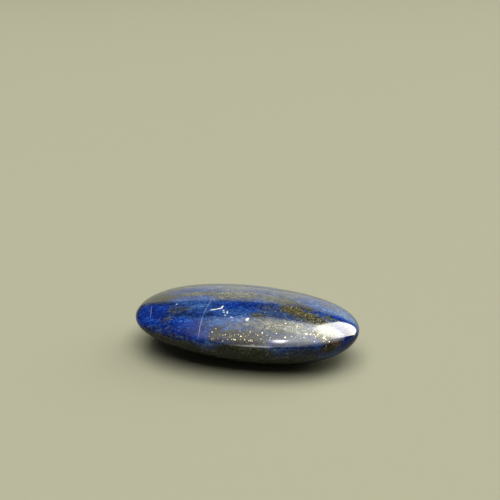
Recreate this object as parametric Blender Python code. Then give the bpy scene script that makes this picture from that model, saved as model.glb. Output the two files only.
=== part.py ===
"""A polished lapis lazuli stone: one solid pebble with a low domed crown, a soft
shoulder, a deep rounded belly and a small flat spot that it rests on.

Metres, +Z up, +X along the stone towards its narrower nose. The origin is the middle
of the stone's plan, on the surface that it rests on.
"""

import math

import bmesh
import bpy
from mathutils import Vector

# Overall size of the finished stone
LENGTH = 0.0360
WIDTH = 0.0216
HEIGHT = 0.0094

# Height of the widest level, and how much of the belly is worn away by the flat spot
GIRDLE_HEIGHT = 0.0060
FLAT_DEPTH = 0.00032

# Share of each dome's full half-width that lies inside the stone's outline: a low share
# gives a shallow cap that meets the shoulder at an angle, 1 gives an upright side
CROWN_SPREAD = 0.85
BELLY_SPREAD = 0.985
SHOULDER_CRISPNESS = 10.0

# Differences between the narrow nose at +X and the blunt tail at -X, as shares of the
# stone's own width and thickness
NOSE_TAPER = 0.125
END_FULLNESS = 0.216
NOSE_THICKENING = 0.22

# Broad flats that hand lapping leaves on the stone: heading of each flat in degrees
# from +X, the tilt of its face from straight up in degrees, and how deep it bites
LAPPED_FLATS = (
    (82.0, 17.0, 0.00006),
    (170.0, 12.0, 0.00005),
    (262.0, 27.0, 0.00007),
    (318.0, 30.0, 0.00008),
    (35.0, 138.0, 0.00010),
    (205.0, 150.0, 0.00008),
)
LAP_SOFTNESS = 0.9

# Rows of facets along each side of the six patches that cover the stone
ROWS = 26

STONE_BLUE = (0.020, 0.055, 0.300, 1.0)
STONE_ROUGHNESS = 0.12


def clear_scene():
    """Empties the scene of the objects that it starts with."""
    for obj in list(bpy.data.objects):
        bpy.data.objects.remove(obj, do_unlink=True)


def cap(spread, height):
    """Full half-height of a dome of which a cap of this height shows, for its spread."""
    return height / (1.0 - math.sqrt(1.0 - spread * spread))


def reach_to_cap(ray, spread, height, up):
    """How far along the ray the capped dome lies, the ray starting at girdle level.

    The ray is in units of the half-length and half-width across, and metres upwards.
    """
    full = cap(spread, height)
    sunk = up * (height - full)
    across = (ray.x * ray.x + ray.y * ray.y) * spread * spread
    a = across + (ray.z / full) ** 2
    b = -2.0 * ray.z * sunk / (full * full)
    c = (sunk / full) ** 2 - 1.0
    return (-b + math.sqrt(b * b - 4.0 * a * c)) / (2.0 * a)


def stone_point(ray):
    """The point of the worn stone in this direction, before the flat spot is cut."""
    crown = reach_to_cap(ray, CROWN_SPREAD, HEIGHT - GIRDLE_HEIGHT, 1.0)
    belly = reach_to_cap(ray, BELLY_SPREAD, GIRDLE_HEIGHT + FLAT_DEPTH, -1.0)
    crisp = SHOULDER_CRISPNESS
    reach = (crown ** -crisp + belly ** -crisp) ** (-1.0 / crisp)
    point = ray * reach
    along = point.x
    girth = 1.0 - NOSE_TAPER * along + END_FULLNESS * along * along
    depth = 1.0 + NOSE_THICKENING * along
    return Vector((along * LENGTH / 2.0, point.y * girth * WIDTH / 2.0, point.z * depth))


def patch_rays():
    """A closed blanket of six square patches round the stone, as a mesh of unit rays."""
    blanket = bmesh.new()
    bmesh.ops.create_cube(blanket, size=2.0)
    bmesh.ops.subdivide_edges(
        blanket, edges=list(blanket.edges), cuts=ROWS - 1, use_grid_fill=True
    )
    for vert in blanket.verts:
        evened = Vector([math.tan(side * math.pi / 4.0) for side in vert.co])
        vert.co = evened.normalized()
    return blanket


def lap_flats(stone):
    """Presses the broad, barely flat places of hand lapping into the stone."""
    for heading, tilt, depth in LAPPED_FLATS:
        turn = math.radians(heading)
        lean = math.radians(tilt)
        facing = Vector(
            (
                math.cos(turn) * math.sin(lean),
                math.sin(turn) * math.sin(lean),
                math.cos(lean),
            )
        )
        highest = max(vert.co.dot(facing) for vert in stone.verts)
        blend = depth * LAP_SOFTNESS
        for vert in stone.verts:
            over = vert.co.dot(facing) - (highest - depth)
            pressed = 0.5 * (over + math.hypot(over, blend))
            vert.co -= facing * pressed


def size_to(stone, length, width, height):
    """Scales the stone to its finished size and sets it over the origin."""
    lowest = Vector([min(vert.co[i] for vert in stone.verts) for i in range(3)])
    highest = Vector([max(vert.co[i] for vert in stone.verts) for i in range(3)])
    middle = (lowest + highest) / 2.0
    wanted = Vector((length, width, height + FLAT_DEPTH))
    for vert in stone.verts:
        for i in range(3):
            share = (vert.co[i] - middle[i]) / (highest[i] - lowest[i])
            vert.co[i] = share * wanted[i]
        vert.co.z += height - wanted.z / 2.0


def cut_flat_spot(stone):
    """Cuts the underside level at the surface that the stone rests on."""
    everything = list(stone.verts) + list(stone.edges) + list(stone.faces)
    bmesh.ops.bisect_plane(
        stone,
        geom=everything,
        dist=1e-7,
        plane_co=(0.0, 0.0, 0.0),
        plane_no=(0.0, 0.0, -1.0),
        clear_outer=True,
    )
    rim = [edge for edge in stone.edges if edge.is_boundary]
    bmesh.ops.contextual_create(stone, geom=rim)
    bmesh.ops.recalc_face_normals(stone, faces=list(stone.faces))


def lapis_material():
    """Polished lapis lazuli, as one plain colour."""
    material = bpy.data.materials.new("polished_lapis")
    material.use_nodes = True
    shader = material.node_tree.nodes["Principled BSDF"]
    shader.inputs["Base Color"].default_value = STONE_BLUE
    shader.inputs["Roughness"].default_value = STONE_ROUGHNESS
    shader.inputs["Metallic"].default_value = 0.0
    return material


def make_stone():
    """The whole stone as one object, shaded smooth but for the rim of its flat spot."""
    stone = patch_rays()
    for vert in stone.verts:
        ray = Vector((vert.co.x, vert.co.y, vert.co.z * HEIGHT / 2.0))
        vert.co = stone_point(ray)
    lap_flats(stone)
    size_to(stone, LENGTH, WIDTH, HEIGHT)
    cut_flat_spot(stone)
    mesh = bpy.data.meshes.new("polished_stone")
    stone.to_mesh(mesh)
    stone.free()
    mesh.shade_smooth()
    mesh.set_sharp_from_angle(angle=math.radians(30.0))
    mesh.materials.append(lapis_material())
    obj = bpy.data.objects.new("polished_stone", mesh)
    bpy.context.scene.collection.objects.link(obj)
    return obj


clear_scene()
make_stone()
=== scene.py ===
"""A polished lapis lazuli pebble, dressed for a close look in a small plain studio.

The stone lies on pale paper, which the polish mirrors darker just before the stone as
painted shade. Its skin is a finely divided copy of the solid, with the
faint waves that hand polishing leaves, and its mineral is painted in three dimensions,
so that blue, matrix, gold and white run on round the sides and under the belly. The
colour also holds painted shade, darker on the low sides and the belly, and a painted
highlight, the white squiggle and flecks on the crown.
Lengths in this file are millimetres, turned to metres where a mesh is made.
"""

import logging
import math
from dataclasses import dataclass
from enum import Enum

import bpy
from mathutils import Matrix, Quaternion, Vector


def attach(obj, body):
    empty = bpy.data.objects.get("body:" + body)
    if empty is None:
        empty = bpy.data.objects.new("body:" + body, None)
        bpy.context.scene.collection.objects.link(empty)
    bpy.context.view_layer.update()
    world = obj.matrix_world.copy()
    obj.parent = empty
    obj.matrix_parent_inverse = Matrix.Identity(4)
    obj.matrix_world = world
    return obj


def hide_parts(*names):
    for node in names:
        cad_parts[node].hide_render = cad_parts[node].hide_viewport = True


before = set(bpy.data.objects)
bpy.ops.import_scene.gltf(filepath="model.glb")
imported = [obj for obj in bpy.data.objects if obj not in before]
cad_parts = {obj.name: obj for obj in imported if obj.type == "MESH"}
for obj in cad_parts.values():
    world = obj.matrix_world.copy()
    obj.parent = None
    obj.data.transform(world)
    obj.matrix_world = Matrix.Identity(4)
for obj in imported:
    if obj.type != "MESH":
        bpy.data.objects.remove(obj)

log = logging.getLogger("lapis")

MM = 0.001

Pair = tuple[float, float]
Point = tuple[float, float, float]
Steps = tuple[Pair, ...]
Ramp = tuple[tuple[float, str], ...]
Swings = tuple[tuple[str, float], ...]
Tree = bpy.types.NodeTree
Socket = bpy.types.NodeSocket


def linear(code: str) -> tuple[float, float, float, float]:
    """Turns an sRGB hex colour into the linear colour that shaders use.

    Args:
        code: The colour as six hex digits, such as "1a3f9c".

    Returns:
        Red, green, blue and an alpha of 1.
    """
    parts = [int(code[i : i + 2], 16) / 255.0 for i in (0, 2, 4)]
    bent = [p / 12.92 if p <= 0.04045 else ((p + 0.055) / 1.055) ** 2.4 for p in parts]
    return (bent[0], bent[1], bent[2], 1.0)


def add_node(
    tree: Tree,
    kind: str,
    inputs: dict[str | int, object] | None = None,
    **settings: object,
) -> bpy.types.Node:
    """Adds a node, with its settings, its values and the links into it.

    Inputs go by number where a node repeats a name or has none worth reading. A Mapping
    has its place, turn and size at 1 to 3, a Map Range the ends of the range that it
    reads at 1 and 2 and of the one that it gives at 3 and 4, a Mix of colours its two
    colours at 6 and 7, and a noise its scale, detail and roughness at 2 to 4.

    Args:
        tree: The node tree that gets the node.
        kind: The node's Blender type.
        inputs: For each input, by name or number, an output to link or a value to set.
        settings: The node's own properties, such as operation="ADD".

    Returns:
        The new node.
    """
    node = tree.nodes.new(kind)
    for name, value in settings.items():
        setattr(node, name, value)
    for socket, value in (inputs or {}).items():
        if isinstance(value, Socket):
            tree.links.new(value, node.inputs[socket])
        else:
            node.inputs[socket].default_value = value
    return node


def colour_steps(node: bpy.types.Node, steps: Ramp) -> None:
    """Sets the stops of a colour ramp.

    Args:
        node: The colour ramp.
        steps: Place from 0 to 1 and hex colour of each stop, in order.
    """
    ramp = node.color_ramp
    while len(ramp.elements) > 1:
        ramp.elements.remove(ramp.elements[-1])
    ramp.elements[0].position = steps[0][0]
    ramp.elements[0].color = linear(steps[0][1])
    for place, code in steps[1:]:
        ramp.elements.new(place).color = linear(code)


def select_only(obj: bpy.types.Object) -> None:
    """Deselects everything, then selects one object and makes it the active one.

    Args:
        obj: The object to select.
    """
    bpy.ops.object.select_all(action="DESELECT")
    obj.select_set(True)
    bpy.context.view_layer.objects.active = obj


class Mineral(Enum):
    """The minerals that lapis lazuli is made of, as the stone's marks name them."""

    PALE = "lazurite clouded with calcite"
    # Also holds painted shade along the low front side and the belly
    DEEP = "dense lazurite"
    PURE = "lazurite free of other minerals"
    MATRIX = "pyrite-rich brown and olive matrix"
    # Also holds painted shade on the low sides and the belly
    DARK = "darker matrix"
    LIGHT = "matrix clouded with feldspar"
    GOLD = "crowded pyrite grains"
    GRAIN = "one larger pyrite grain"
    # Also holds a painted highlight: the squiggle and flecks on the crown
    WHITE = "white calcite in veins and flecks"
    RUST = "iron stain"


@dataclass(frozen=True)
class Mark:
    """One soft-edged lens of a mineral, in the stone's own frame.

    Attributes:
        middle: Its middle, in millimetres.
        reach: Its half-sizes along its own three axes, in millimetres.
        turn: How far it is turned about the upright axis, in degrees.
        strength: The share of the mineral in its heart, from 0 to 1.
    """

    middle: Point
    reach: Point
    turn: float = 0.0
    strength: float = 1.0


# Where each mineral lies
MARKS: dict[Mineral, tuple[Mark, ...]] = {
    Mineral.MATRIX: (
        # The streaks along the back of the crown and round the tail
        Mark((-14.8, -0.3, 7.0), (4.2, 2.2, 3.5), -10.0, 0.8),
        Mark((-8.8, 0.4, 8.4), (4.8, 1.0, 3.5), 5.0, 0.7),
        Mark((-1.5, 0.2, 9.0), (4.8, 2.0, 3.5), 4.0, 0.75),
        Mark((5.6, -0.1, 9.2), (4.4, 1.5, 3.5), -4.0, 0.7),
        Mark((-2.6, 3.8, 8.8), (3.6, 2.2, 3.0), 0.0, 0.5),
        Mark((6.2, 2.8, 8.9), (4.0, 1.8, 3.0), -8.0, 0.5),
        Mark((13.2, 1.8, 8.0), (2.2, 0.9, 2.5), -14.0, 0.5),
        Mark((-14.4, 3.4, 6.8), (4.6, 2.4, 3.0), 16.0, 0.6),
        Mark((-17.8, -4.4, 5.4), (0.7, 4.6, 2.4), -14.0, 0.8),
        # The golden-brown band that runs into the nose
        Mark((8.3, -2.5, 9.0), (2.4, 1.3, 3.0), -8.0, 0.9),
        Mark((11.3, -3.5, 8.3), (3.1, 1.6, 3.0), -5.0, 0.9),
        Mark((9.8, -1.0, 9.0), (2.0, 0.8, 3.0), -4.0, 0.8),
        Mark((13.9, -1.8, 8.0), (1.0, 0.9, 2.0), 30.0, 0.75),
        # Thin haze and islands in the blue
        Mark((5.6, -4.0, 8.9), (3.2, 1.7, 2.0), -12.0, 0.52),
        Mark((3.4, -5.5, 8.7), (1.8, 0.8, 2.0), -12.0, 0.65),
        Mark((-9.2, -5.0, 7.9), (2.1, 1.3, 2.0), 0.0, 0.55),
        Mark((-10.6, -7.5, 7.2), (1.5, 0.9, 1.5), -10.0, 0.45),
        Mark((-3.6, -8.0, 8.0), (0.9, 0.8, 1.5), 0.0, 0.4),
        # The gold-speckled front shoulder
        Mark((-1.7, -9.6, 6.9), (1.2, 1.6, 1.5), -20.0, 0.72),
        Mark((2.6, -9.6, 6.9), (4.8, 1.4, 1.6), 4.0, 0.82),
        Mark((0.8, -8.0, 7.8), (2.6, 0.9, 2.0), 0.0, 0.45),
        Mark((7.4, -6.7, 8.0), (6.0, 1.9, 2.2), 8.0, 0.8),
        Mark((9.6, -8.2, 7.0), (4.6, 1.2, 1.4), 14.0, 0.62),
        Mark((13.8, -5.4, 7.0), (2.2, 1.4, 1.6), 30.0, 0.85),
        # The sides below the shoulder
        Mark((2.6, -10.6, 4.4), (5.6, 2.0, 2.2), 4.0, 0.95),
        Mark((-9.6, -10.0, 4.0), (8.4, 3.0, 2.2), -12.0, 0.9),
        Mark((10.8, -8.6, 4.6), (3.4, 1.6, 1.4), 22.0, 0.45),
        Mark((14.5, -6.4, 5.5), (1.5, 0.9, 1.0), 42.0, 0.9),
        Mark((15.6, -5.4, 5.9), (1.2, 0.7, 0.6), 46.0, 0.85),
        Mark((3.0, -9.4, 2.8), (14.0, 4.4, 1.9), 4.0, 0.85),
    ),
    Mineral.DARK: (
        # Painted shade: the matrix darker along the low front side and the belly
        Mark((0.0, -9.0, 2.2), (18.0, 5.0, 2.2), 0.0, 0.4),
        Mark((-14.8, -0.3, 7.0), (4.6, 2.6, 3.5), -10.0, 0.3),
        Mark((-17.8, -4.4, 5.4), (1.0, 5.0, 2.4), -14.0, 0.35),
        # Painted shade: these three darken the matrix on the sides below the shoulder
        Mark((2.6, -10.8, 4.6), (6.4, 2.4, 1.6), 4.0, 0.36),
        Mark((-9.0, -10.2, 4.3), (9.0, 3.4, 1.9), -12.0, 0.36),
        Mark((11.6, -8.2, 4.9), (5.6, 2.2, 1.6), 26.0, 0.38),
        Mark((9.8, -0.9, 9.0), (2.4, 0.8, 3.0), -4.0, 0.28),
        Mark((11.4, -4.3, 8.2), (3.4, 0.8, 2.0), 0.0, 0.2),
        Mark((-9.2, -5.1, 7.9), (2.3, 1.4, 2.0), 0.0, 0.2),
        Mark((5.4, -4.4, 8.9), (3.2, 1.5, 2.0), -12.0, 0.22),
        Mark((1.4, -9.7, 6.9), (5.2, 1.5, 1.6), 4.0, 0.3),
        Mark((9.0, -8.4, 6.9), (4.2, 1.0, 1.2), 14.0, 0.16),
    ),
    Mineral.LIGHT: (
        Mark((8.6, -6.0, 8.0), (5.8, 1.4, 2.2), 10.0, 0.28),
        Mark((-4.0, 1.0, 9.0), (12.0, 2.0, 3.5), 4.0, 0.12),
    ),
    Mineral.PALE: (
        Mark((-8.0, -1.7, 8.4), (3.9, 1.2, 2.5), 2.0, 0.12),
        Mark((-6.7, -4.1, 8.3), (1.3, 0.5, 1.5), 5.0, 0.22),
        Mark((15.0, 1.0, 7.8), (3.4, 1.3, 2.5), -15.0, 0.3),
        Mark((11.6, 0.9, 8.6), (3.4, 1.4, 2.0), -10.0, 0.15),
        Mark((-0.4, -4.8, 8.9), (3.2, 1.4, 2.0), 4.0, 0.1),
        Mark((5.8, -4.1, 8.9), (2.0, 0.9, 2.0), -5.0, 0.2),
        Mark((-1.0, -7.4, 8.1), (4.2, 0.9, 2.0), 4.0, 0.16),
        Mark((-7.2, -7.7, 7.6), (2.4, 0.6, 2.0), 0.0, 0.14),
        Mark((0.6, -8.8, 7.5), (1.6, 0.7, 1.5), 0.0, 0.2),
        Mark((9.6, -7.9, 7.1), (4.4, 0.9, 1.5), 14.0, 0.1),
    ),
    Mineral.DEEP: (
        # Painted shade: the blue darker along the low front side and the belly
        Mark((0.0, -9.0, 2.2), (18.0, 5.0, 2.2), 0.0, 0.2),
        Mark((2.4, -3.0, 9.1), (3.2, 0.8, 2.0), 4.0, 0.08),
        Mark((-7.4, -6.4, 8.0), (4.2, 0.5, 1.5), 0.0, 0.18),
        Mark((-11.2, -3.2, 7.9), (1.5, 0.7, 1.5), -20.0, 0.15),
        Mark((17.2, -3.4, 5.2), (2.2, 3.0, 2.2), 30.0, 0.24),
        Mark((11.6, -8.2, 5.1), (4.6, 2.0, 1.3), 24.0, 0.2),
        Mark((-8.0, -9.4, 6.4), (4.6, 1.6, 1.2), -6.0, 0.08),
    ),
    Mineral.PURE: (
        Mark((-14.6, -5.6, 6.8), (3.8, 3.2, 3.5), -20.0, 1.0),
        Mark((-7.2, -9.2, 7.0), (3.8, 2.0, 2.2), -4.0, 1.0),
        Mark((0.2, -3.5, 9.1), (4.0, 1.1, 2.0), 4.0, 0.55),
        Mark((17.0, -3.2, 5.4), (1.8, 3.0, 2.4), 30.0, 1.0),
        Mark((15.6, -0.9, 7.6), (1.6, 0.8, 2.0), 10.0, 0.6),
    ),
    Mineral.GOLD: (
        Mark((-1.9, -9.6, 6.8), (1.0, 1.4, 1.5), -20.0, 0.75),
        Mark((2.2, -9.7, 6.8), (3.8, 1.2, 1.5), 5.0, 0.6),
        Mark((8.5, -2.5, 9.0), (2.2, 0.8, 2.0), -8.0, 0.85),
        Mark((11.3, -3.2, 8.4), (2.4, 0.7, 2.0), -6.0, 0.75),
        Mark((7.8, -6.3, 8.0), (4.6, 1.4, 2.0), 8.0, 0.25),
        Mark((1.0, -7.8, 7.9), (1.8, 0.8, 1.5), 0.0, 0.35),
        Mark((13.0, -5.6, 7.2), (1.9, 1.0, 1.2), 30.0, 0.6),
        Mark((14.6, -6.3, 5.6), (1.2, 0.8, 0.9), 42.0, 0.4),
        Mark((-9.2, -5.3, 7.9), (2.2, 1.2, 2.0), 0.0, 0.2),
    ),
    Mineral.GRAIN: (
        # On the front shoulder and just above it
        Mark((-2.1, -8.9, 7.5), (0.08, 0.09, 0.2)),
        Mark((-2.4, -9.5, 7.1), (0.07, 0.1, 0.2)),
        Mark((-2.2, -10.4, 6.4), (0.07, 0.08, 0.2)),
        Mark((-0.3, -9.6, 7.0), (0.06, 0.07, 0.2)),
        Mark((-0.5, -10.4, 6.3), (0.07, 0.07, 0.2)),
        Mark((1.0, -10.0, 6.6), (0.08, 0.07, 0.2)),
        Mark((2.0, -9.5, 7.0), (0.09, 0.08, 0.2)),
        Mark((2.7, -9.8, 6.7), (0.08, 0.07, 0.2)),
        Mark((3.2, -8.6, 7.5), (0.07, 0.07, 0.2)),
        Mark((4.4, -8.9, 7.2), (0.07, 0.07, 0.2)),
        Mark((5.0, -8.4, 7.5), (0.1, 0.1, 0.2)),
        Mark((7.0, -8.0, 7.5), (0.07, 0.08, 0.2)),
        Mark((7.9, -5.9, 8.2), (0.09, 0.1, 0.2)),
        Mark((8.4, -8.2, 7.1), (0.1, 0.08, 0.2)),
        Mark((9.7, -5.9, 8.0), (0.08, 0.1, 0.2)),
        Mark((11.2, -6.6, 7.4), (0.1, 0.1, 0.2)),
    ),
    Mineral.RUST: (
        # By the nose
        Mark((15.4, -5.6, 5.8), (0.6, 0.5, 0.4), 40.0, 0.5),
    ),
    Mineral.WHITE: (
        # Calcite hairlines across the tail half, then the squiggle and the flecks round it, which
        # are a painted highlight: glints along a fine crack, painted white
        Mark((-5.0, -3.9, 8.5), (0.06, 2.8, 2.5), 3.0, 0.2),
        Mark((-4.6, -8.8, 7.4), (0.07, 2.2, 2.5), 8.0, 0.2),
        Mark((-14.1, -5.0, 7.1), (0.05, 2.0, 2.0), 20.0, 0.16),
        # Painted highlight: the squiggle and the flecks round it, glints along a fine crack
        # painted white
        Mark((-3.7, -4.92, 8.7), (0.6, 0.13, 0.5), 18.0, 0.9),
        Mark((-2.9, -4.58, 8.8), (0.44, 0.14, 0.5), 24.0),
        Mark((-2.6, -4.15, 8.9), (0.16, 0.42, 0.5), -10.0),
        Mark((-2.1, -5.0, 8.7), (0.2, 0.1, 0.4), 0.0, 0.8),
        Mark((-1.9, -5.4, 8.7), (0.2, 0.09, 0.4), 0.0, 0.8),
        Mark((-1.35, -5.4, 8.7), (0.09, 0.3, 0.4), 12.0),
        Mark((-1.5, -6.1, 8.5), (0.16, 0.1, 0.4), 0.0, 0.7),
        Mark((-0.35, -6.45, 8.5), (0.3, 0.08, 0.4), -10.0, 0.6),
        Mark((2.15, -6.5, 8.5), (0.2, 0.32, 0.4), -20.0),
        Mark((-10.4, -3.3, 8.1), (0.12, 0.14, 0.4), 0.0),
    ),
}

# How soft the edges of each mineral's marks are, as a share of the marks' own size
SOFTNESS = {
    Mineral.PALE: 0.7,
    Mineral.DEEP: 0.7,
    Mineral.PURE: 0.5,
    Mineral.MATRIX: 0.6,
    Mineral.DARK: 0.7,
    Mineral.LIGHT: 0.7,
    Mineral.GOLD: 0.6,
    Mineral.GRAIN: 0.35,
    Mineral.WHITE: 0.35,
    Mineral.RUST: 0.9,
}


@dataclass(frozen=True)
class Specks:
    """Pyrite grains of one size class, scattered by chance.

    Attributes:
        spacing: How far apart the places lie that a grain may take, in millimetres.
        least: Half-width of the smallest grain, as a share of the spacing.
        most: Half-width of the largest grain, as a share of the spacing.
        crowd: How much larger the share of taken places is in full gold.
    """

    spacing: float
    least: float
    most: float
    crowd: float


@dataclass(frozen=True)
class LapisFinish:
    """Lapis lazuli, a rock of blue lazurite, calcite and pyrite, lapped and polished.

    It is opaque. The eye gets a deep, finely mottled blue with drifts of grey-blue and
    brown-olive matrix, pin-points of brassy pyrite that flash, white calcite hairlines,
    and over it all a wet-looking polish in which the lights keep clean edges. The colour
    also holds painted shade, darker on the low front side, the sides below the shoulder
    and the belly, and a painted highlight in the white squiggle and flecks on the crown.

    Attributes:
        royals: Place and colour of each step from dense to pale in pure blue.
        denims: The same steps where other minerals cloud the blue.
        browns: Place and colour of each step from the darkest matrix to the palest.
        brass: Place and colour of each step in matrix that is full of fine pyrite.
        pyrite: Colour of a pyrite face.
        calcite: Colour of the calcite veins, and of the squiggle and flecks on the crown,
        which are a painted highlight.
        rust: Colour of the iron stain.
        index: Index of refraction, lazurite's with a little for calcite and pyrite.
        polish: Roughness of the polished blue.
        dull: Roughness of the matrix, which takes less polish.
        cloud_mm: Size of the broad drifts of colour.
        mottle_mm: Size of the mottles.
        grain_mm: Size of the single crystals. Many real ones are half as large or less,
            which wouldn't show, so they are drawn this coarse.
        mosaic_mm: Size of the blue grains that paler calcite parts from each other.
        streak_mm: Width of the streaks of matrix that chance lays out of sight.
        streak_scale: Scale of their pattern along each axis, below 1 where they are drawn
            out.
        drawn_out: How far drifts and mottles are drawn out along the stone.
        broad_edges: How far the broad marks' edges wander, and the size of the bays and
            spurs in them, both in millimetres.
        fine_edges: The same for veins, flecks and larger grains.
        chipped_edges: The same for the scattered grains.
        break_up: How much the finer octaves of the drifts, mottles and grains show.
        rag: How much the finer octaves of edges and streaks show.
        back_mm: Where the unseen back starts and where it is complete, along Y.
        under_mm: Where the unseen belly starts and where it is complete, along Z.
        streak_chance: Noise at which a streak starts and at which it is full.
        matrix_swings: Weight of each noise in the matrix's ragged edge.
        matrix_edge: Sum at which matrix starts and at which it is full.
        blue_middle: Place on the blue steps where nothing makes the blue paler or denser.
        blue_swings: Weight of each noise in the blue.
        seam: Width of the calcite seams, as a share of the blue grains' size.
        seam_pale: How far a seam makes the blue paler.
        pure_middle: Sum for pure blue where there is no mark and no noise.
        pure_swings: Weight of each noise in the spread of the pure blue.
        pure_edge: Sum at which pure blue starts and at which it is full.
        brown_middle: Place on the brown steps where no mark makes the matrix differ.
        brown_swings: Weight of each noise in the matrix.
        brass_middle: Sum for brass where there is no mark and no noise.
        brass_swings: Weight of each noise in the spread of the brass.
        brass_edge: Sum at which brass starts and at which it is full.
        specks: The coarse and the fine class of scattered pyrite. Real dust is finer
            still, and its grains would not show one by one, so they are drawn as large
            as the fine class.
        speck_rare: Share of the places that a grain takes where the blue is pure.
        speck_matrix: How much larger that share is in full matrix.
        uneven: Strength of the bump in full matrix.
        relief_mm: Height of that bump.
        lean: How far a pyrite face leans out of the polished surface.
    """

    royals: Ramp = (
        (0.0, "04091c"),
        (0.2, "05164a"),
        (0.38, "062471"),
        (0.52, "0b3692"),
        (0.65, "1e4fa4"),
        (0.8, "4a72b0"),
        (1.0, "8ba2c6"),
    )
    denims: Ramp = (
        (0.0, "080d1a"),
        (0.2, "0f2144"),
        (0.38, "1b376e"),
        (0.52, "284b8b"),
        (0.65, "3b629a"),
        (0.8, "5f83a2"),
        (1.0, "96a8b4"),
    )
    browns: Ramp = (
        (0.0, "0e100c"),
        (0.25, "22241a"),
        (0.5, "45483e"),
        (0.7, "5f6355"),
        (0.85, "7f8376"),
        (1.0, "a3a598"),
    )
    brass: Ramp = (
        (0.0, "11110b"),
        (0.35, "332f19"),
        (0.6, "61572f"),
        (0.8, "857c50"),
        (1.0, "b0aa86"),
    )
    pyrite: str = "e2d3a4"
    calcite: str = "f2f4f2"
    rust: str = "5c3018"
    index: float = 1.55
    polish: float = 0.09
    dull: float = 0.13
    cloud_mm: float = 1.6
    mottle_mm: float = 0.5
    grain_mm: float = 0.22
    mosaic_mm: float = 0.75
    streak_mm: float = 2.6
    streak_scale: Point = (0.25, 1.0, 0.9)
    drawn_out: float = 2.0
    broad_edges: Pair = (0.9, 2.4)
    fine_edges: Pair = (0.1, 0.9)
    chipped_edges: Pair = (0.03, 0.15)
    break_up: float = 0.65
    rag: float = 0.6
    back_mm: Pair = (2.5, 5.5)
    under_mm: Pair = (3.0, 1.8)
    streak_chance: Pair = (0.4, 0.62)
    matrix_swings: Swings = (("mottle", 1.1), ("grain", 0.6), ("crystal", 0.2))
    matrix_edge: Pair = (0.18, 0.8)
    blue_middle: float = 0.4
    blue_swings: Swings = (("cloud", 0.45), ("mottle", 0.7), ("grain", 0.55), ("crystal", 0.28))
    seam: float = 0.18
    seam_pale: float = 0.08
    pure_middle: float = 0.1
    pure_swings: Swings = (("cloud", 1.6),)
    pure_edge: Pair = (0.15, 0.75)
    brown_middle: float = 0.52
    brown_swings: Swings = (("cloud", 0.5), ("mottle", 0.8), ("grain", 0.75), ("crystal", 0.35))
    brass_middle: float = 0.05
    brass_swings: Swings = (("mottle", 1.2), ("cloud", -1.6))
    brass_edge: Pair = (0.2, 0.95)
    specks: tuple[Specks, Specks] = (Specks(0.5, 0.06, 0.2, 1.2), Specks(0.25, 0.12, 0.32, 0.7))
    speck_rare: float = 0.006
    speck_matrix: float = 0.015
    uneven: float = 0.4
    relief_mm: float = 0.006
    lean: float = 0.35

    def build(self) -> bpy.types.Material:
        """Makes the material.

        Returns:
            The material, ready for the stone's one slot.
        """
        material = bpy.data.materials.new("lapis_lazuli_polished")
        material.use_nodes = True
        tree = material.node_tree
        shader = tree.nodes["Principled BSDF"]
        shader.inputs["IOR"].default_value = self.index
        place = self._place(tree)
        drift = self._drift(tree, place, self.broad_edges)
        noises = self._noises(tree, place, drift)
        matrix = self._matrix_share(tree, place, drift, noises)
        gold = self._marks(tree, drift, Mineral.GOLD)
        blue = self._blue(tree, drift, noises)
        brown = self._brown(tree, drift, noises, gold)
        rust = self._marks(tree, drift, Mineral.RUST)
        fine = self._drift(tree, place, self.fine_edges)
        # White calcite hairlines, and the squiggle and flecks that are a painted highlight
        white = self._marks(tree, fine, Mineral.WHITE)
        speck, tilt = self._specks(tree, place, matrix, gold)
        grain = self._marks(tree, fine, Mineral.GRAIN)
        metal = add_node(
            tree, "ShaderNodeMath", {0: speck, 1: grain}, operation="MAXIMUM"
        ).outputs[0]
        colour = blue
        for share, other in (
            (matrix, brown),
            (rust, linear(self.rust)),
            (white, linear(self.calcite)),
            (metal, linear(self.pyrite)),
        ):
            colour = add_node(
                tree, "ShaderNodeMix", {0: share, 6: colour, 7: other}, data_type="RGBA"
            ).outputs[2]
        rough = add_node(
            tree, "ShaderNodeMapRange", {0: matrix, 3: self.polish, 4: self.dull}
        ).outputs[0]
        normal = self._normal(tree, noises, matrix, speck, tilt)
        tree.links.new(colour, shader.inputs["Base Color"])
        tree.links.new(metal, shader.inputs["Metallic"])
        tree.links.new(rough, shader.inputs["Roughness"])
        tree.links.new(normal, shader.inputs["Normal"])
        return material

    def _place(self, tree: Tree) -> Socket:
        """Gives the place in the stone.

        Args:
            tree: The material's node tree.

        Returns:
            The place, in millimetres.
        """
        where = add_node(tree, "ShaderNodeTexCoord").outputs["Object"]
        size = (1.0 / MM, 1.0 / MM, 1.0 / MM)
        return add_node(tree, "ShaderNodeMapping", {0: where, 3: size}).outputs[0]

    def _drift(self, tree: Tree, place: Socket, edges: Pair) -> Socket:
        """Pulls the place about a little, so that marks get the ragged edges of rock.

        Args:
            tree: The material's node tree.
            place: The place in the stone, in millimetres.
            edges: How far the place is pulled, and the size of the ragged edges.

        Returns:
            The place, pulled about.
        """
        far, size = edges
        noise = add_node(
            tree, "ShaderNodeTexNoise", {0: place, 2: 1.0 / size, 3: 4.0, 4: self.rag}
        ).outputs["Color"]
        centred = add_node(
            tree, "ShaderNodeVectorMath", {0: noise, 1: (0.5, 0.5, 0.5)}, operation="SUBTRACT"
        ).outputs[0]
        # The centred noise reaches half a unit, so it pulls this far, and twice as far along
        # the stone, where the rock is drawn out
        pull = (4.0 * far, 2.0 * far, 2.0 * far)
        return add_node(
            tree, "ShaderNodeVectorMath", {0: centred, 1: pull, 2: place},
            operation="MULTIPLY_ADD",
        ).outputs[0]

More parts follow.
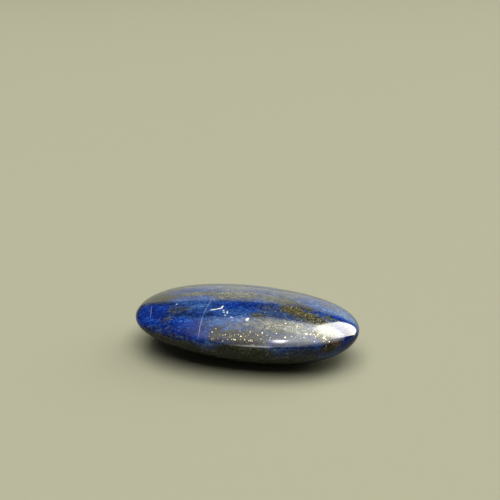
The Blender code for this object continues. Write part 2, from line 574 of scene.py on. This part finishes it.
    def _noises(self, tree: Tree, place: Socket, drift: Socket) -> dict[str, Socket]:
        """Makes the noises that blue and matrix share, all centred on zero.

        Args:
            tree: The material's node tree.
            place: The place in the stone, in millimetres.
            drift: The place, pulled about.

        Returns:
            The noises by name: cloud, mottle, grain and crystal.
        """
        shape = (1.0 / self.drawn_out, 1.0, 1.0)
        drawn = add_node(tree, "ShaderNodeMapping", {0: drift, 3: shape}).outputs[0]
        made = {}
        for name, where, size, detail in (
            ("cloud", drawn, self.cloud_mm, 3.0),
            ("mottle", drawn, self.mottle_mm, 3.0),
            ("grain", place, self.grain_mm, 2.0),
        ):
            made[name] = add_node(
                tree, "ShaderNodeTexNoise",
                {0: where, 2: 1.0 / size, 3: detail, 4: self.break_up},
            ).outputs[0]
        cell = add_node(
            tree, "ShaderNodeTexVoronoi", {0: place, 2: 1.0 / self.grain_mm}
        ).outputs["Color"]
        made["crystal"] = add_node(tree, "ShaderNodeSeparateColor", {0: cell}).outputs[0]
        return {
            name: add_node(
                tree, "ShaderNodeMath", {0: noise, 1: 0.5}, operation="SUBTRACT"
            ).outputs[0]
            for name, noise in made.items()
        }

    def _summed(
        self,
        tree: Tree,
        start: float,
        shares: tuple[tuple[Socket, float], ...],
        noises: dict[str, Socket] | None = None,
        swings: Swings = (),
    ) -> Socket:
        """Adds up shares and centred noises, each with its own weight.

        Args:
            tree: The material's node tree.
            start: The sum where no share is present and every noise is at its middle.
            shares: Each share, from 0 to 1, with its weight.
            noises: The shared noises by name.
            swings: The name of each noise that takes part, with its weight.

        Returns:
            The sum.
        """
        total: object = start
        for source, weight in shares + tuple((noises[name], swing) for name, swing in swings):
            total = add_node(
                tree, "ShaderNodeMath", {0: source, 1: weight, 2: total}, operation="MULTIPLY_ADD"
            ).outputs[0]
        return total

    def _marks(self, tree: Tree, place: Socket, mineral: Mineral) -> Socket:
        """Lays out the marks of one mineral.

        Args:
            tree: The material's node tree.
            place: The place in the stone, in millimetres.
            mineral: The mineral whose marks are laid out.

        Returns:
            The mineral's share at the place, from 0 to 1.
        """
        edge = SOFTNESS[mineral]
        # The gradient below falls from 1 in a lens's middle to 0 where its soft edge ends,
        # and this is its value where that edge starts
        full = 2.0 * edge / (1.0 + edge)
        share = None
        for mark in MARKS[mineral]:
            turn = (0.0, 0.0, math.radians(mark.turn))
            outer = tuple(half * (1.0 + edge) for half in mark.reach)
            inside = add_node(
                tree, "ShaderNodeMapping", {0: place, 1: mark.middle, 2: turn, 3: outer},
                vector_type="TEXTURE",
            ).outputs[0]
            ball = add_node(
                tree, "ShaderNodeTexGradient", {0: inside}, gradient_type="SPHERICAL"
            ).outputs[1]
            heart = add_node(
                tree, "ShaderNodeMapRange", {0: ball, 1: 0.0, 2: full, 3: 0.0, 4: mark.strength},
                interpolation_type="SMOOTHSTEP",
            ).outputs[0]
            share = heart if share is None else add_node(
                tree, "ShaderNodeMath", {0: share, 1: heart}, operation="MAXIMUM"
            ).outputs[0]
        return share

    def _unseen(self, tree: Tree, place: Socket) -> Socket:
        """Says how far a place lies round the back or underneath.

        Few marks reach so far, and streaks of chance carry the pattern on there.

        Args:
            tree: The material's node tree.
            place: The place in the stone, in millimetres.

        Returns:
            A share that is 1 at the back and underneath and 0 on the side that shows.
        """
        parts = add_node(tree, "ShaderNodeSeparateXYZ", {0: place}).outputs
        sides = [
            add_node(
                tree, "ShaderNodeMapRange", {0: parts[axis], 1: ends[0], 2: ends[1]}
            ).outputs[0]
            for axis, ends in ((1, self.back_mm), (2, self.under_mm))
        ]
        return add_node(
            tree, "ShaderNodeMath", {0: sides[0], 1: sides[1]}, operation="MAXIMUM"
        ).outputs[0]

    def _matrix_share(
        self, tree: Tree, place: Socket, drift: Socket, noises: dict[str, Socket]
    ) -> Socket:
        """Lays out the brown and olive matrix, in drawn-out streaks with ragged edges.

        Args:
            tree: The material's node tree.
            place: The place in the stone, in millimetres.
            drift: The place, pulled about.
            noises: The shared noises.

        Returns:
            The matrix's share at the place, from 0 to 1.
        """
        marked = self._marks(tree, drift, Mineral.MATRIX)
        drawn = add_node(
            tree, "ShaderNodeMapping", {0: place, 3: self.streak_scale}
        ).outputs[0]
        streak = add_node(
            tree, "ShaderNodeTexNoise", {0: drawn, 2: 1.0 / self.streak_mm, 3: 5.0, 4: self.rag}
        ).outputs[0]
        start, full = self.streak_chance
        chance = add_node(tree, "ShaderNodeMapRange", {0: streak, 1: start, 2: full}).outputs[0]
        hidden = add_node(
            tree, "ShaderNodeMath", {0: chance, 1: self._unseen(tree, place)},
            operation="MULTIPLY",
        ).outputs[0]
        both = add_node(
            tree, "ShaderNodeMath", {0: marked, 1: hidden}, operation="MAXIMUM"
        ).outputs[0]
        ragged = self._summed(tree, 0.0, ((both, 1.0),), noises, self.matrix_swings)
        start, full = self.matrix_edge
        return add_node(
            tree, "ShaderNodeMapRange", {0: ragged, 1: start, 2: full},
            interpolation_type="SMOOTHSTEP",
        ).outputs[0]

    def _two_tone(
        self, tree: Tree, value: Socket, patchy: Socket, edge: Pair, ramps: tuple[Ramp, Ramp]
    ) -> Socket:
        """Colours a value by two ramps, the second one in patches.

        Args:
            tree: The material's node tree.
            value: The place on the ramps.
            patchy: A sum that is high in the second ramp's patches.
            edge: The sum at which the second ramp starts and at which it is full.
            ramps: The two ramps.

        Returns:
            The colour.
        """
        tones = []
        for steps in ramps:
            node = add_node(tree, "ShaderNodeValToRGB", {0: value})
            colour_steps(node, steps)
            tones.append(node.outputs[0])
        share = add_node(
            tree, "ShaderNodeMapRange", {0: patchy, 1: edge[0], 2: edge[1]}
        ).outputs[0]
        return add_node(
            tree, "ShaderNodeMix", {0: share, 6: tones[0], 7: tones[1]}, data_type="RGBA"
        ).outputs[2]

    def _blue(self, tree: Tree, drift: Socket, noises: dict[str, Socket]) -> Socket:
        """Paints the lazurite: clouds, mottles and single crystals from navy to denim.

        Args:
            tree: The material's node tree.
            drift: The place, pulled about.
            noises: The shared noises.

        Returns:
            The colour of the blue.
        """
        pale = self._marks(tree, drift, Mineral.PALE)
        # The dense marks include painted shade along the low front side and the belly
        deep = self._marks(tree, drift, Mineral.DEEP)
        side = add_node(
            tree, "ShaderNodeTexVoronoi", {0: drift, 2: 1.0 / self.mosaic_mm},
            feature="DISTANCE_TO_EDGE",
        ).outputs["Distance"]
        seam = add_node(tree, "ShaderNodeMapRange", {0: side, 1: self.seam, 2: 0.0}).outputs[0]
        value = self._summed(
            tree, self.blue_middle, ((pale, 1.0), (deep, -1.0), (seam, self.seam_pale)),
            noises, self.blue_swings,
        )
        pure = self._marks(tree, drift, Mineral.PURE)
        patchy = self._summed(tree, self.pure_middle, ((pure, 1.0),), noises, self.pure_swings)
        return self._two_tone(tree, value, patchy, self.pure_edge, (self.denims, self.royals))

    def _brown(
        self, tree: Tree, drift: Socket, noises: dict[str, Socket], gold: Socket
    ) -> Socket:
        """Paints the matrix: a grainy mix of brown, olive and grey, brassy in places.

        Args:
            tree: The material's node tree.
            drift: The place, pulled about.
            noises: The shared noises.
            gold: How crowded the pyrite is, from 0 to 1.

        Returns:
            The colour of the matrix.
        """
        # The darker marks include painted shade on the low sides and the belly
        dark = self._marks(tree, drift, Mineral.DARK)
        light = self._marks(tree, drift, Mineral.LIGHT)
        value = self._summed(
            tree, self.brown_middle, ((light, 1.0), (dark, -1.0)), noises, self.brown_swings
        )
        patchy = self._summed(tree, self.brass_middle, ((gold, 1.0),), noises, self.brass_swings)
        return self._two_tone(tree, value, patchy, self.brass_edge, (self.browns, self.brass))

    def _specks(
        self, tree: Tree, place: Socket, matrix: Socket, gold: Socket
    ) -> tuple[Socket, Socket]:
        """Scatters the pyrite grains, crowded in the matrix and rare in the blue.

        Args:
            tree: The material's node tree.
            place: The place in the stone, in millimetres.
            matrix: The matrix's share at the place.
            gold: How crowded the pyrite is, from 0 to 1.

        Returns:
            Where pyrite shows, from 0 to 1, and a colour that differs from grain to grain.
        """
        broken = self._drift(tree, place, self.chipped_edges)
        found = []
        for kind in self.specks:
            dense = self._summed(
                tree, self.speck_rare, ((gold, kind.crowd), (matrix, self.speck_matrix))
            )
            cells = add_node(tree, "ShaderNodeTexVoronoi", {0: broken, 2: 1.0 / kind.spacing})
            chances = add_node(
                tree, "ShaderNodeSeparateColor", {0: cells.outputs["Color"]}
            ).outputs
            chosen = add_node(
                tree, "ShaderNodeMath", {0: chances[0], 1: dense}, operation="LESS_THAN"
            ).outputs[0]
            size = add_node(
                tree, "ShaderNodeMapRange", {0: chances[1], 3: kind.least, 4: kind.most}
            ).outputs[0]
            inside = add_node(
                tree, "ShaderNodeMath", {0: cells.outputs["Distance"], 1: size},
                operation="LESS_THAN",
            ).outputs[0]
            speck = add_node(
                tree, "ShaderNodeMath", {0: chosen, 1: inside}, operation="MULTIPLY"
            ).outputs[0]
            found.append((speck, cells.outputs["Color"]))
        (coarse, coarse_tilt), (fine, fine_tilt) = found
        either = add_node(
            tree, "ShaderNodeMath", {0: coarse, 1: fine}, operation="MAXIMUM"
        ).outputs[0]
        tilt = add_node(
            tree, "ShaderNodeMix", {0: coarse, 6: fine_tilt, 7: coarse_tilt}, data_type="RGBA"
        ).outputs[2]
        return either, tilt

    def _normal(
        self,
        tree: Tree,
        noises: dict[str, Socket],
        matrix: Socket,
        speck: Socket,
        tilt: Socket,
    ) -> Socket:
        """Lets each pyrite face lean its own way, and the matrix polish a little uneven.

        Args:
            tree: The material's node tree.
            noises: The shared noises.
            matrix: The matrix's share at the place.
            speck: Where pyrite shows.
            tilt: A colour that differs from grain to grain.

        Returns:
            The normal that the shader uses.
        """
        uneven = add_node(
            tree, "ShaderNodeMath", {0: matrix, 1: self.uneven}, operation="MULTIPLY"
        ).outputs[0]
        bump = add_node(
            tree, "ShaderNodeBump",
            {"Strength": uneven, "Distance": self.relief_mm * MM, "Height": noises["grain"]},
        ).outputs[0]
        lean = add_node(
            tree, "ShaderNodeVectorMath", {0: tilt, 1: (0.5, 0.5, 0.5)}, operation="SUBTRACT"
        ).outputs[0]
        weight = add_node(
            tree, "ShaderNodeMath", {0: speck, 1: self.lean}, operation="MULTIPLY"
        ).outputs[0]
        leaned = add_node(
            tree, "ShaderNodeVectorMath", {0: lean, "Scale": weight}, operation="SCALE"
        ).outputs[0]
        normal = add_node(
            tree, "ShaderNodeVectorMath", {0: bump, 1: leaned}, operation="ADD"
        ).outputs[0]
        return add_node(
            tree, "ShaderNodeVectorMath", {0: normal}, operation="NORMALIZE"
        ).outputs[0]


@dataclass
class StoneSkin:
    """The pebble's polished skin: the solid's form, finely divided and worked over.

    Attributes:
        node: The solid that the skin stands for.
        merge: How near two points of the solid are taken as one, in millimetres.
        bend: Bend between two triangles up to which they make one quad, in degrees.
        skew: How far that quad may be from square, in degrees.
        levels: How often each facet is divided.
        wave_height: Height of the faint waves that hand polishing leaves, in millimetres.
        wave_length: Length of those waves, in millimetres.
    """

    node: str = "polished_stone"
    merge: float = 0.002
    bend: float = 40.0
    skew: float = 60.0
    levels: int = 2
    wave_height: float = 0.010
    wave_length: float = 3.2

    def build(self) -> bpy.types.Object:
        """Makes the skin and dresses it.

        Returns:
            The finished skin.
        """
        skin = self._copy_solid()
        self._divide(skin)
        self._wave(skin)
        skin.data.materials.clear()
        skin.data.materials.append(LapisFinish().build())
        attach(skin, "root")
        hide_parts(self.node)
        return skin

    def _copy_solid(self) -> bpy.types.Object:
        """Copies the solid's mesh, merges its loose triangles and pairs them to quads.

        Returns:
            The copy.
        """
        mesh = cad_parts[self.node].data.copy()
        mesh.name = "stone_skin"
        skin = bpy.data.objects.new("stone_skin", mesh)
        bpy.context.scene.collection.objects.link(skin)
        select_only(skin)
        bpy.ops.object.mode_set(mode="EDIT")
        bpy.ops.mesh.select_all(action="SELECT")
        bpy.ops.mesh.remove_doubles(threshold=self.merge * MM)
        bpy.ops.mesh.tris_convert_to_quads(
            face_threshold=math.radians(self.bend), shape_threshold=math.radians(self.skew)
        )
        bpy.ops.object.mode_set(mode="OBJECT")
        return skin

    def _divide(self, skin: bpy.types.Object) -> None:
        """Divides every facet, so that no edge of one shows, however near the camera is.

        Args:
            skin: The copy of the solid.
        """
        select_only(skin)
        finer = skin.modifiers.new("finer", "SUBSURF")
        finer.levels = self.levels
        finer.render_levels = self.levels
        bpy.ops.object.modifier_apply(modifier=finer.name)
        bpy.ops.object.shade_smooth()

    def _wave(self, skin: bpy.types.Object) -> None:
        """Gives the skin the faint, broad waves of hand polishing.

        Args:
            skin: The divided skin.
        """
        waves = bpy.data.textures.new("polish_waves", "CLOUDS")
        waves.noise_scale = self.wave_length * MM
        waves.noise_depth = 1
        select_only(skin)
        lift = skin.modifiers.new("wave", "DISPLACE")
        lift.texture = waves
        lift.texture_coords = "LOCAL"
        lift.mid_level = 0.5
        lift.strength = self.wave_height * MM
        bpy.ops.object.modifier_apply(modifier=lift.name)


@dataclass(frozen=True)
class Viewpoint:
    """The camera, low before the stone and a little to its right.

    Attributes:
        place: Where the camera stands, in millimetres.
        pitch: How far it looks down, in degrees.
        heading: How far it is turned to the left of straight ahead, in degrees.
        lens: Its focal length, in millimetres.
        sensor: Width of its sensor, in millimetres.
        near: Nearest distance that it sees, in millimetres.
        far: Farthest distance that it sees, in millimetres.
    """

    place: Point = (32.77, -111.41, 58.54)
    pitch: float = 19.672
    heading: float = 16.0735
    lens: float = 57.6
    sensor: float = 36.0
    near: float = 5.0
    far: float = 40000.0

    def build(self) -> bpy.types.Object:
        """Makes the camera and hands it to the scene.

        Returns:
            The camera.
        """
        eye = bpy.data.cameras.new("eye")
        eye.lens = self.lens
        eye.sensor_width = self.sensor
        eye.clip_start = self.near * MM
        eye.clip_end = self.far * MM
        camera = bpy.data.objects.new("eye", eye)
        bpy.context.scene.collection.objects.link(camera)
        camera.location = Vector(self.place) * MM
        camera.rotation_euler = (
            math.radians(90.0 - self.pitch), 0.0, math.radians(self.heading)
        )
        bpy.context.scene.camera = camera
        return camera


class Lights(Enum):
    """What a light is for."""

    SHINE = "the polish only"
    SHADE = "matt colour only"


@dataclass(frozen=True)
class Softbox:
    """A flat light, even or graded over its face.

    Attributes:
        name: What it is called.
        middle: Its middle, in millimetres.
        target: The point that it faces, in millimetres.
        width: Its width, in millimetres.
        depth: Its depth, in millimetres.
        radiance: How bright its face is, where white paper in full light is 1.
        task: Whether it shows in the polish or lights what is matt.
        roll: How far it is turned about the line that it faces along, in degrees.
        across: Place from left to right, and share of the radiance there, of each step.
        upward: Place from bottom to top, and share of the radiance there, of each step.
        corner: Width and height of the triangle masked off at its right foot, as shares.
        corner_edge: How soft the mask's edge is, as a share.
        oval: True for an oval face.
        colour: Its colour.
    """

    name: str
    middle: Point
    target: Point
    width: float
    depth: float
    radiance: float
    task: Lights
    roll: float = 0.0
    across: Steps = ()
    upward: Steps = ()
    corner: Pair | None = None
    corner_edge: float = 0.02
    oval: bool = False
    colour: str = "ffffff"

    def build(self) -> bpy.types.Object:
        """Makes the light, hidden from the camera but not from the stone.

        Returns:
            The light.
        """
        lamp = bpy.data.lights.new(self.name, "AREA")
        lamp.shape = "ELLIPSE" if self.oval else "RECTANGLE"
        lamp.size = self.width * MM
        lamp.size_y = self.depth * MM
        area = lamp.size * lamp.size_y * (0.25 * math.pi if self.oval else 1.0)
        lamp.energy = self.radiance * math.pi * area
        lamp.color = linear(self.colour)[:3]
        if self.across or self.upward or self.corner:
            self._fade(lamp)
        light = bpy.data.objects.new(self.name, lamp)
        bpy.context.scene.collection.objects.link(light)
        light.location = Vector(self.middle) * MM
        facing = (Vector(self.target) - Vector(self.middle)).normalized()
        roll = Quaternion(facing, -math.radians(self.roll))
        light.rotation_euler = (roll @ facing.to_track_quat("-Z", "Y")).to_euler()
        light.visible_camera = False
        light.visible_diffuse = self.task is Lights.SHADE
        light.visible_glossy = self.task is Lights.SHINE
        return light

    def _fade(self, lamp: bpy.types.Light) -> None:
        """Grades the light over its face.

        Args:
            lamp: The light's data, which gets the nodes.
        """
        lamp.use_nodes = True
        tree = lamp.node_tree
        glow = tree.nodes["Emission"]
        face = add_node(tree, "ShaderNodeNewGeometry").outputs["Parametric"]
        parts = add_node(tree, "ShaderNodeSeparateXYZ", {0: face}).outputs
        level: object = 1.0
        for side, steps in ((parts[0], self.across), (parts[1], self.upward)):
            if not steps:
                continue
            curve = add_node(tree, "ShaderNodeFloatCurve", {1: side})
            points = curve.mapping.curves[0].points
            points[0].location = steps[0]
            points[1].location = steps[-1]
            for step in steps[1:-1]:
                points.new(*step)
            for point in points:
                point.handle_type = "VECTOR"
            curve.mapping.update()
            level = add_node(
                tree, "ShaderNodeMath", {0: curve.outputs[0], 1: level}, operation="MULTIPLY"
            ).outputs[0]
        if self.corner:
            wide, tall = self.corner
            slant = add_node(
                tree, "ShaderNodeVectorMath", {0: face, 1: (-tall, wide, 0.0)},
                operation="DOT_PRODUCT",
            ).outputs[1]
            edge = tall * (wide - 1.0)
            kept = add_node(
                tree, "ShaderNodeMapRange", {0: slant, 1: edge, 2: edge + self.corner_edge}
            ).outputs[0]
            level = add_node(
                tree, "ShaderNodeMath", {0: kept, 1: level}, operation="MULTIPLY"
            ).outputs[0]
        tree.links.new(level, glow.inputs["Strength"])


@dataclass(frozen=True)
class PaperFinish:
    """Uncoated paper, lying flat.

    It is matt. The eye gets an even, pale, warm grey with no shine.

    Attributes:
        colour: Colour of the paper.
        shade_in_polish: Colour of the paper before the stone as the polish shows it, kept darker
            as painted shade, so that the stone's low sides mirror a shadowed floor and stay deep.
        shade_in_polish_mm: Where that painted shade starts and where it is complete, along Y.
    """

    colour: str = "a6a58c"
    shade_in_polish: str = "6f6e5a"
    shade_in_polish_mm: Pair = (35.0, 15.0)

    def build(self) -> bpy.types.Material:
        """Makes the material.

        Returns:
            The material, ready for the floor.
        """
        material = bpy.data.materials.new("matt_paper")
        material.use_nodes = True
        tree = material.node_tree
        shader = tree.nodes["Principled BSDF"]
        # Painted shade: the paper before the stone is darker where the polish mirrors it, so the
        # low sides mirror a shadowed floor
        polish = add_node(tree, "ShaderNodeLightPath").outputs["Is Glossy Ray"]
        place = add_node(tree, "ShaderNodeTexCoord").outputs["Object"]
        depth = add_node(tree, "ShaderNodeSeparateXYZ", {0: place}).outputs[1]
        start, full = self.shade_in_polish_mm
        share = add_node(
            tree, "ShaderNodeMapRange", {0: depth, 1: start * MM, 2: full * MM, 4: polish}
        ).outputs[0]
        shade = add_node(
            tree, "ShaderNodeMix",
            {0: share, 6: linear(self.colour), 7: linear(self.shade_in_polish)},
            data_type="RGBA",
        ).outputs[2]
        tree.links.new(shade, shader.inputs["Base Color"])
        shader.inputs["Roughness"].default_value = 1.0
        shader.inputs["Specular IOR Level"].default_value = 0.0
        return material


@dataclass
class Studio:
    """The plain place that the stone lies in: a paper floor, lights, dim surroundings.

    Attributes:
        floor: Half-width of the floor, in millimetres.
        floor_sides: How many straight sides the round floor has.
        high: Height of the light over the stone, in millimetres.
        off: How far away the lights for matt colour stand, in millimetres.
        card: Colour of the card behind the stone.
        dim: How bright the surroundings are.
        beyond: Colour that the camera sees past the floor's far edge.
    """

    floor: float = 12000.0
    floor_sides: int = 96
    high: float = 600.0
    off: float = 6000.0
    card: str = "fcf9e0"
    dim: float = 0.035
    beyond: str = "bcbba0"

    def build(self) -> bpy.types.Object:
        """Makes the floor, the lights and the surroundings.

        Returns:
            The floor, which isn't part of the object.
        """
        sheet = self._floor()
        for box in self._boxes():
            box.build()
        self._surroundings()
        return sheet

    def _boxes(self) -> tuple[Softbox, ...]:
        """Lists the lights.

        Returns:
            The lights that show in the polish, then those that light what is matt.
        """
        high = self.high
        off = self.off
        return (
            # The wide, pale one that lies over the crown
            Softbox(
                "overhead", (0.925 * high, -1.19 * high, high),
                (0.925 * high, -1.19 * high, 0.0), 3.15 * high, 3.62 * high, 6.3, Lights.SHINE,
                across=(
                    (0.0, 0.0), (0.05, 0.06), (0.085, 0.22), (0.14, 0.36), (0.21, 0.5),
                    (0.27, 0.95), (0.46, 0.95), (0.55, 0.5), (0.75, 0.25), (1.0, 0.2),
                ),
                upward=(
                    (0.0, 0.25), (0.28, 0.3), (0.55, 0.4), (0.66, 0.65), (0.72, 1.0), (1.0, 1.0),
                ),
            ),
            # The bright one on the nose
            Softbox(
                "window", (462.4, 500.5, 422.6), (-33.6, 38.9, -3.0), 614.0, 950.0, 12.4,
                Lights.SHINE, roll=25.0, upward=((0.0, 1.0), (0.85, 1.0), (1.0, 0.3)),
                corner=(0.57, 0.46), colour="fffbe8",
            ),
            # The small one on the front shoulder
            Softbox(
                "lamp", (0.18 * high, -0.65 * high, 0.9 * high),
                (0.18 * high, -0.65 * high, 0.0), 0.12 * high, 0.58 * high, 34.0,
                Lights.SHINE, roll=12.0,
                across=((0.0, 0.04), (0.35, 0.4), (0.55, 1.0), (1.0, 1.0)),
                upward=((0.0, 0.0), (0.4, 0.15), (0.66, 0.7), (0.85, 1.0), (1.0, 1.0)),
            ),
            # The thin line along the front shoulder
            Softbox(
                "strip", (40.0, -572.0, 175.0), (0.0, 0.0, 0.0), 200.0, 150.0, 5.0, Lights.SHINE,
                across=((0.0, 0.0), (0.3, 1.0), (0.7, 1.0), (1.0, 0.0)),
            ),
            # The pale haze over the far side
            Softbox(
                "back_card", (-0.18 * high, high, 0.0), (-0.18 * high, 0.0, 0.0),
                1.2 * high, 1.36 * high, 0.85, Lights.SHINE,
                across=((0.0, 1.0), (0.64, 1.0), (0.74, 0.64), (1.0, 0.7)),
                oval=True, colour=self.card,
            ),
            # Soft light on what is matt, from above and from the window's side
            Softbox(
                "overhead_fill", (0.1 * off, -0.25 * off, off), (0.1 * off, -0.25 * off, 0.0),
                1.1 * off, 1.3 * off, 3.7, Lights.SHADE,
            ),
            Softbox(
                "window_fill", (0.58 * off, 0.60 * off, 0.55 * off), (0.0, 0.0, 0.0),
                0.95 * off, 0.88 * off, 1.6, Lights.SHADE,
            ),
        )

    def _floor(self) -> bpy.types.Object:
        """Lays the floor.

        Returns:
            The floor.
        """
        bpy.ops.object.select_all(action="DESELECT")
        bpy.ops.mesh.primitive_circle_add(
            vertices=self.floor_sides, radius=self.floor * MM, fill_type="NGON"
        )
        sheet = bpy.context.object
        sheet.name = "paper_floor"
        sheet.data.materials.append(PaperFinish().build())
        return sheet

    def _surroundings(self) -> None:
        """Dims the surroundings, which the camera sees as more of the same paper."""
        world = bpy.data.worlds.new("surroundings")
        bpy.context.scene.world = world
        world.use_nodes = True
        tree = world.node_tree
        tree.nodes.clear()
        seen = add_node(tree, "ShaderNodeLightPath").outputs["Is Camera Ray"]
        dark = add_node(
            tree, "ShaderNodeBackground", {0: linear("ffffff"), 1: self.dim}
        ).outputs[0]
        pale = add_node(
            tree, "ShaderNodeBackground", {0: linear(self.beyond), 1: 1.0}
        ).outputs[0]
        both = add_node(tree, "ShaderNodeMixShader", {0: seen, 1: dark, 2: pale}).outputs[0]
        add_node(tree, "ShaderNodeOutputWorld", {0: both})


def main() -> None:
    """Builds the camera, the stone and the studio, and notes the sizes."""
    logging.basicConfig(level=logging.INFO, format="%(name)s: %(message)s")
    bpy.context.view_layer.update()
    bpy.context.scene.view_settings.view_transform = "Standard"
    camera = Viewpoint().build()
    log.info("%s stands at %s", camera.name, tuple(camera.location))
    skin = StoneSkin().build()
    log.info("%s has %d faces", skin.name, len(skin.data.polygons))
    sheet = Studio().build()
    log.info("%s is laid", sheet.name)


if __name__ == "__main__":
    main()
